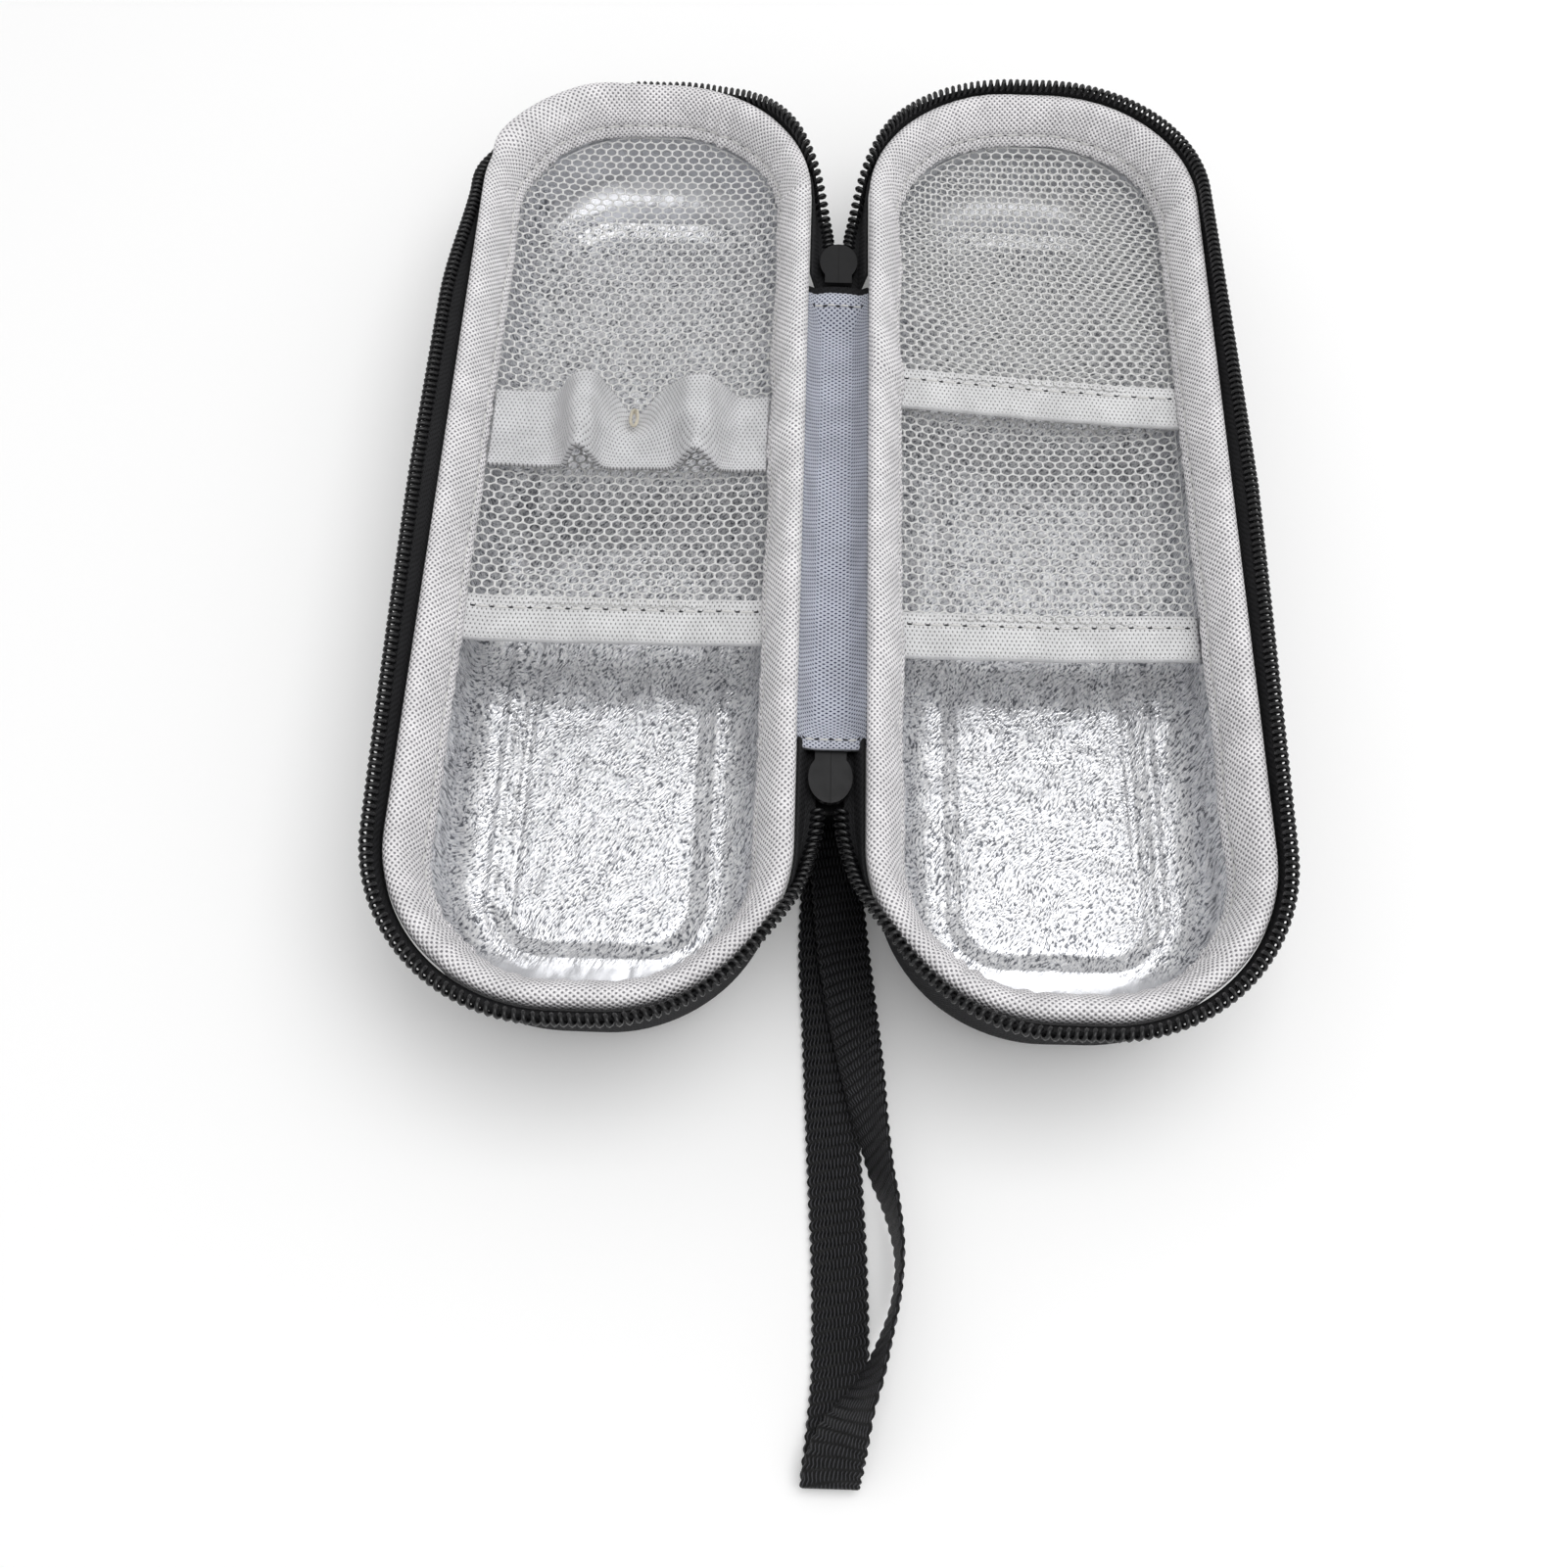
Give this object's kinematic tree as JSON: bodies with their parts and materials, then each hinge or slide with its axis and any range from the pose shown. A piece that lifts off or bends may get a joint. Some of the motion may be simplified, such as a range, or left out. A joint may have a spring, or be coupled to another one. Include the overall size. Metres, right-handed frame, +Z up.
{
  "type": "insulated pen case",
  "caption": "Soft insulated zip case lying open: moulded foil-lined halves on a folding fabric spine, with net pockets, pen loops, zip sliders and a wrist strap.",
  "frame": {"origin": "on the table, midway between the two open halves and midway along the spine", "axes": "+X from the left half to the right half, +Y along the spine away from the strap end, +Z up out of the open halves"},
  "size_m": [0.1542, 0.2833, 0.0316],
  "materials": {
    "shell_fabric": "black woven polyester over moulded foam",
    "liner_foam": "white closed-cell foam",
    "foil": "crinkled aluminised film",
    "binding": "pale grey twill binding tape",
    "zip_tape": "black woven zip tape",
    "zip_coil": "black nylon coil",
    "net": "white knitted net",
    "elastic": "off-white woven elastic",
    "spine_lining": "grey-blue woven lining",
    "slider_metal": "dark grey painted die-cast",
    "webbing": "black ribbed webbing"
  },
  "bodies": {
    "left_half": {"left_shell": "shell_fabric", "left_foam_liner": "liner_foam", "left_foil_lining": "foil", "left_binding": "binding", "left_zip_tape": "zip_tape", "left_zip_coil": "zip_coil", "left_net": "net", "left_elastic": "elastic", "pen_loop_elastic": "elastic", "wrist_strap": "webbing"},
    "spine": {"spine_lining": "spine_lining", "spine_cover": "shell_fabric", "far_zip_end": "zip_tape", "near_zip_end": "zip_tape"},
    "right_half": {"right_shell": "shell_fabric", "right_foam_liner": "liner_foam", "right_foil_lining": "foil", "right_binding": "binding", "right_zip_tape": "zip_tape", "right_zip_coil": "zip_coil", "right_upper_net": "net", "right_upper_elastic": "elastic", "right_lower_net": "net", "right_lower_elastic": "elastic"},
    "far_slider": {"far_slider": "slider_metal"},
    "near_slider": {"near_slider": "slider_metal"},
    "far_pull_tab": {"far_pull_tab": "slider_metal"},
    "near_pull_tab": {"near_pull_tab": "slider_metal"}
  },
  "joints": [
    {"name": "spine_fold", "type": "hinge", "parent": "left_half", "child": "spine", "pos_m": [-0.0062, 0, 0.026], "axis": [0, -1, 0], "range_deg": [0, 90]},
    {"name": "lid_fold", "type": "hinge", "parent": "spine", "child": "right_half", "pos_m": [0.0062, 0, 0.026], "axis": [0, -1, 0], "range_deg": [0, 90]},
    {"name": "far_slide", "type": "slide", "parent": "spine", "child": "far_slider", "axis": [0, 1, 0], "range_m": [0, 0.004]},
    {"name": "near_slide", "type": "slide", "parent": "spine", "child": "near_slider", "axis": [0, -1, 0], "range_m": [0, 0.004]},
    {"name": "far_pull_swing", "type": "hinge", "parent": "far_slider", "child": "far_pull_tab", "pos_m": [0, 0.0604, 0.0176], "axis": [1, 0, 0], "range_deg": [-85, 85]},
    {"name": "near_pull_swing", "type": "hinge", "parent": "near_slider", "child": "near_pull_tab", "pos_m": [0, -0.0604, 0.0176], "axis": [1, 0, 0], "range_deg": [-85, 85]}
  ],
  "couplings": [
    {"joint": "spine_fold", "follows": "lid_fold", "ratio": 1}
  ]
}
